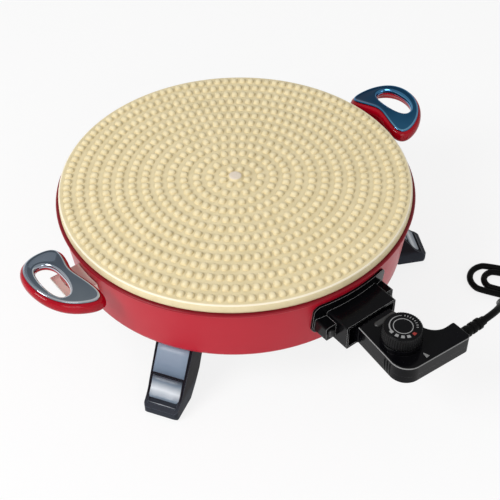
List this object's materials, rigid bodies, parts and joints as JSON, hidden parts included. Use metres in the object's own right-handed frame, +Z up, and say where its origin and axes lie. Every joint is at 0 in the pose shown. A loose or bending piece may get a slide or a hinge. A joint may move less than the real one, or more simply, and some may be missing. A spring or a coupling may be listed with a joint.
{
  "type": "electric flatbread maker",
  "caption": "Round electric flatbread maker with a studded cooking plate, red shell, splayed legs, holed handles with bright trims and a plug-in heat control with dial and mains lead.",
  "frame": {"origin": "on the worktop, at the middle of the box round the cooker and its plugged-in control, without the mains lead and its plug", "axes": "+Z up; -Y is the front, where the control plugs in; +X is the right handle seen from the control's side"},
  "size_m": [0.5414, 0.5612, 0.141],
  "materials": {
    "plate_coat": "satin cream gold non-stick coating on cast aluminium",
    "red_enamel": "semi-gloss red enamel",
    "red_plastic": "deep glossy red",
    "bright_trim": "mirror bright",
    "leg_plastic": "dark charcoal, satin panels",
    "pad_rubber": "matt",
    "black_plastic": "glossy black",
    "lens_grey": "smoky translucent",
    "steel": "plated",
    "dark_steel": "heat-dulled sheath",
    "bare_aluminium": "as cast or rolled",
    "ceramic": "white ceramic",
    "brass": "plain",
    "phenolic": "brown phenolic",
    "spring_steel": "plain",
    "lead_rubber": "satin black"
  },
  "bodies": {
    "cooker": {"cooking_plate": "plate_coat", "shell": "red_enamel", "bottom_cover": "steel", "cover_screws": "steel", "heat_reflector": "bare_aluminium", "centre_spacers": "steel", "centre_bolt": "steel", "heating_element": "dark_steel", "element_clamps": "bare_aluminium", "probe_well": "bare_aluminium", "control_socket": "black_plastic", "socket_screws": "steel", "terminal_pins": "steel", "terminal_bushes": "ceramic", "handle_grip_left": "red_plastic", "handle_grip_right": "red_plastic", "handle_trim_left": "bright_trim", "handle_trim_right": "bright_trim", "handle_bracket_left": "bright_trim", "handle_bracket_right": "bright_trim", "handle_screws": "steel", "leg_front_left": "leg_plastic", "leg_front_right": "leg_plastic", "leg_rear": "leg_plastic", "leg_pad_front_left": "pad_rubber", "leg_pad_front_right": "pad_rubber", "leg_pad_rear": "pad_rubber", "leg_screws": "steel"},
    "control": {"control_case_lower": "black_plastic", "control_case_upper": "black_plastic", "case_screws": "steel", "pilot_lens": "lens_grey", "sensor_rod": "steel", "contact_block": "phenolic", "contact_sleeves": "brass", "thermostat_base": "phenolic", "bimetal_blade": "spring_steel", "contact_spring": "spring_steel", "strain_relief": "lead_rubber", "cord": "lead_rubber", "cord_coil": "lead_rubber", "cord_tie": "lead_rubber", "plug_body": "black_plastic", "plug_pins": "brass"},
    "dial": {"dial_knob": "black_plastic", "dial_shaft": "steel"}
  },
  "joints": [
    {"name": "control_slide", "type": "slide", "parent": "cooker", "child": "control", "axis": [0, -1, 0], "range_m": [0, 0.1]},
    {"name": "dial_turn", "type": "hinge", "parent": "control", "child": "dial", "pos_m": [0, -0.20625, 0.113], "axis": [0, 0, -1], "range_deg": [0, 270]}
  ]
}
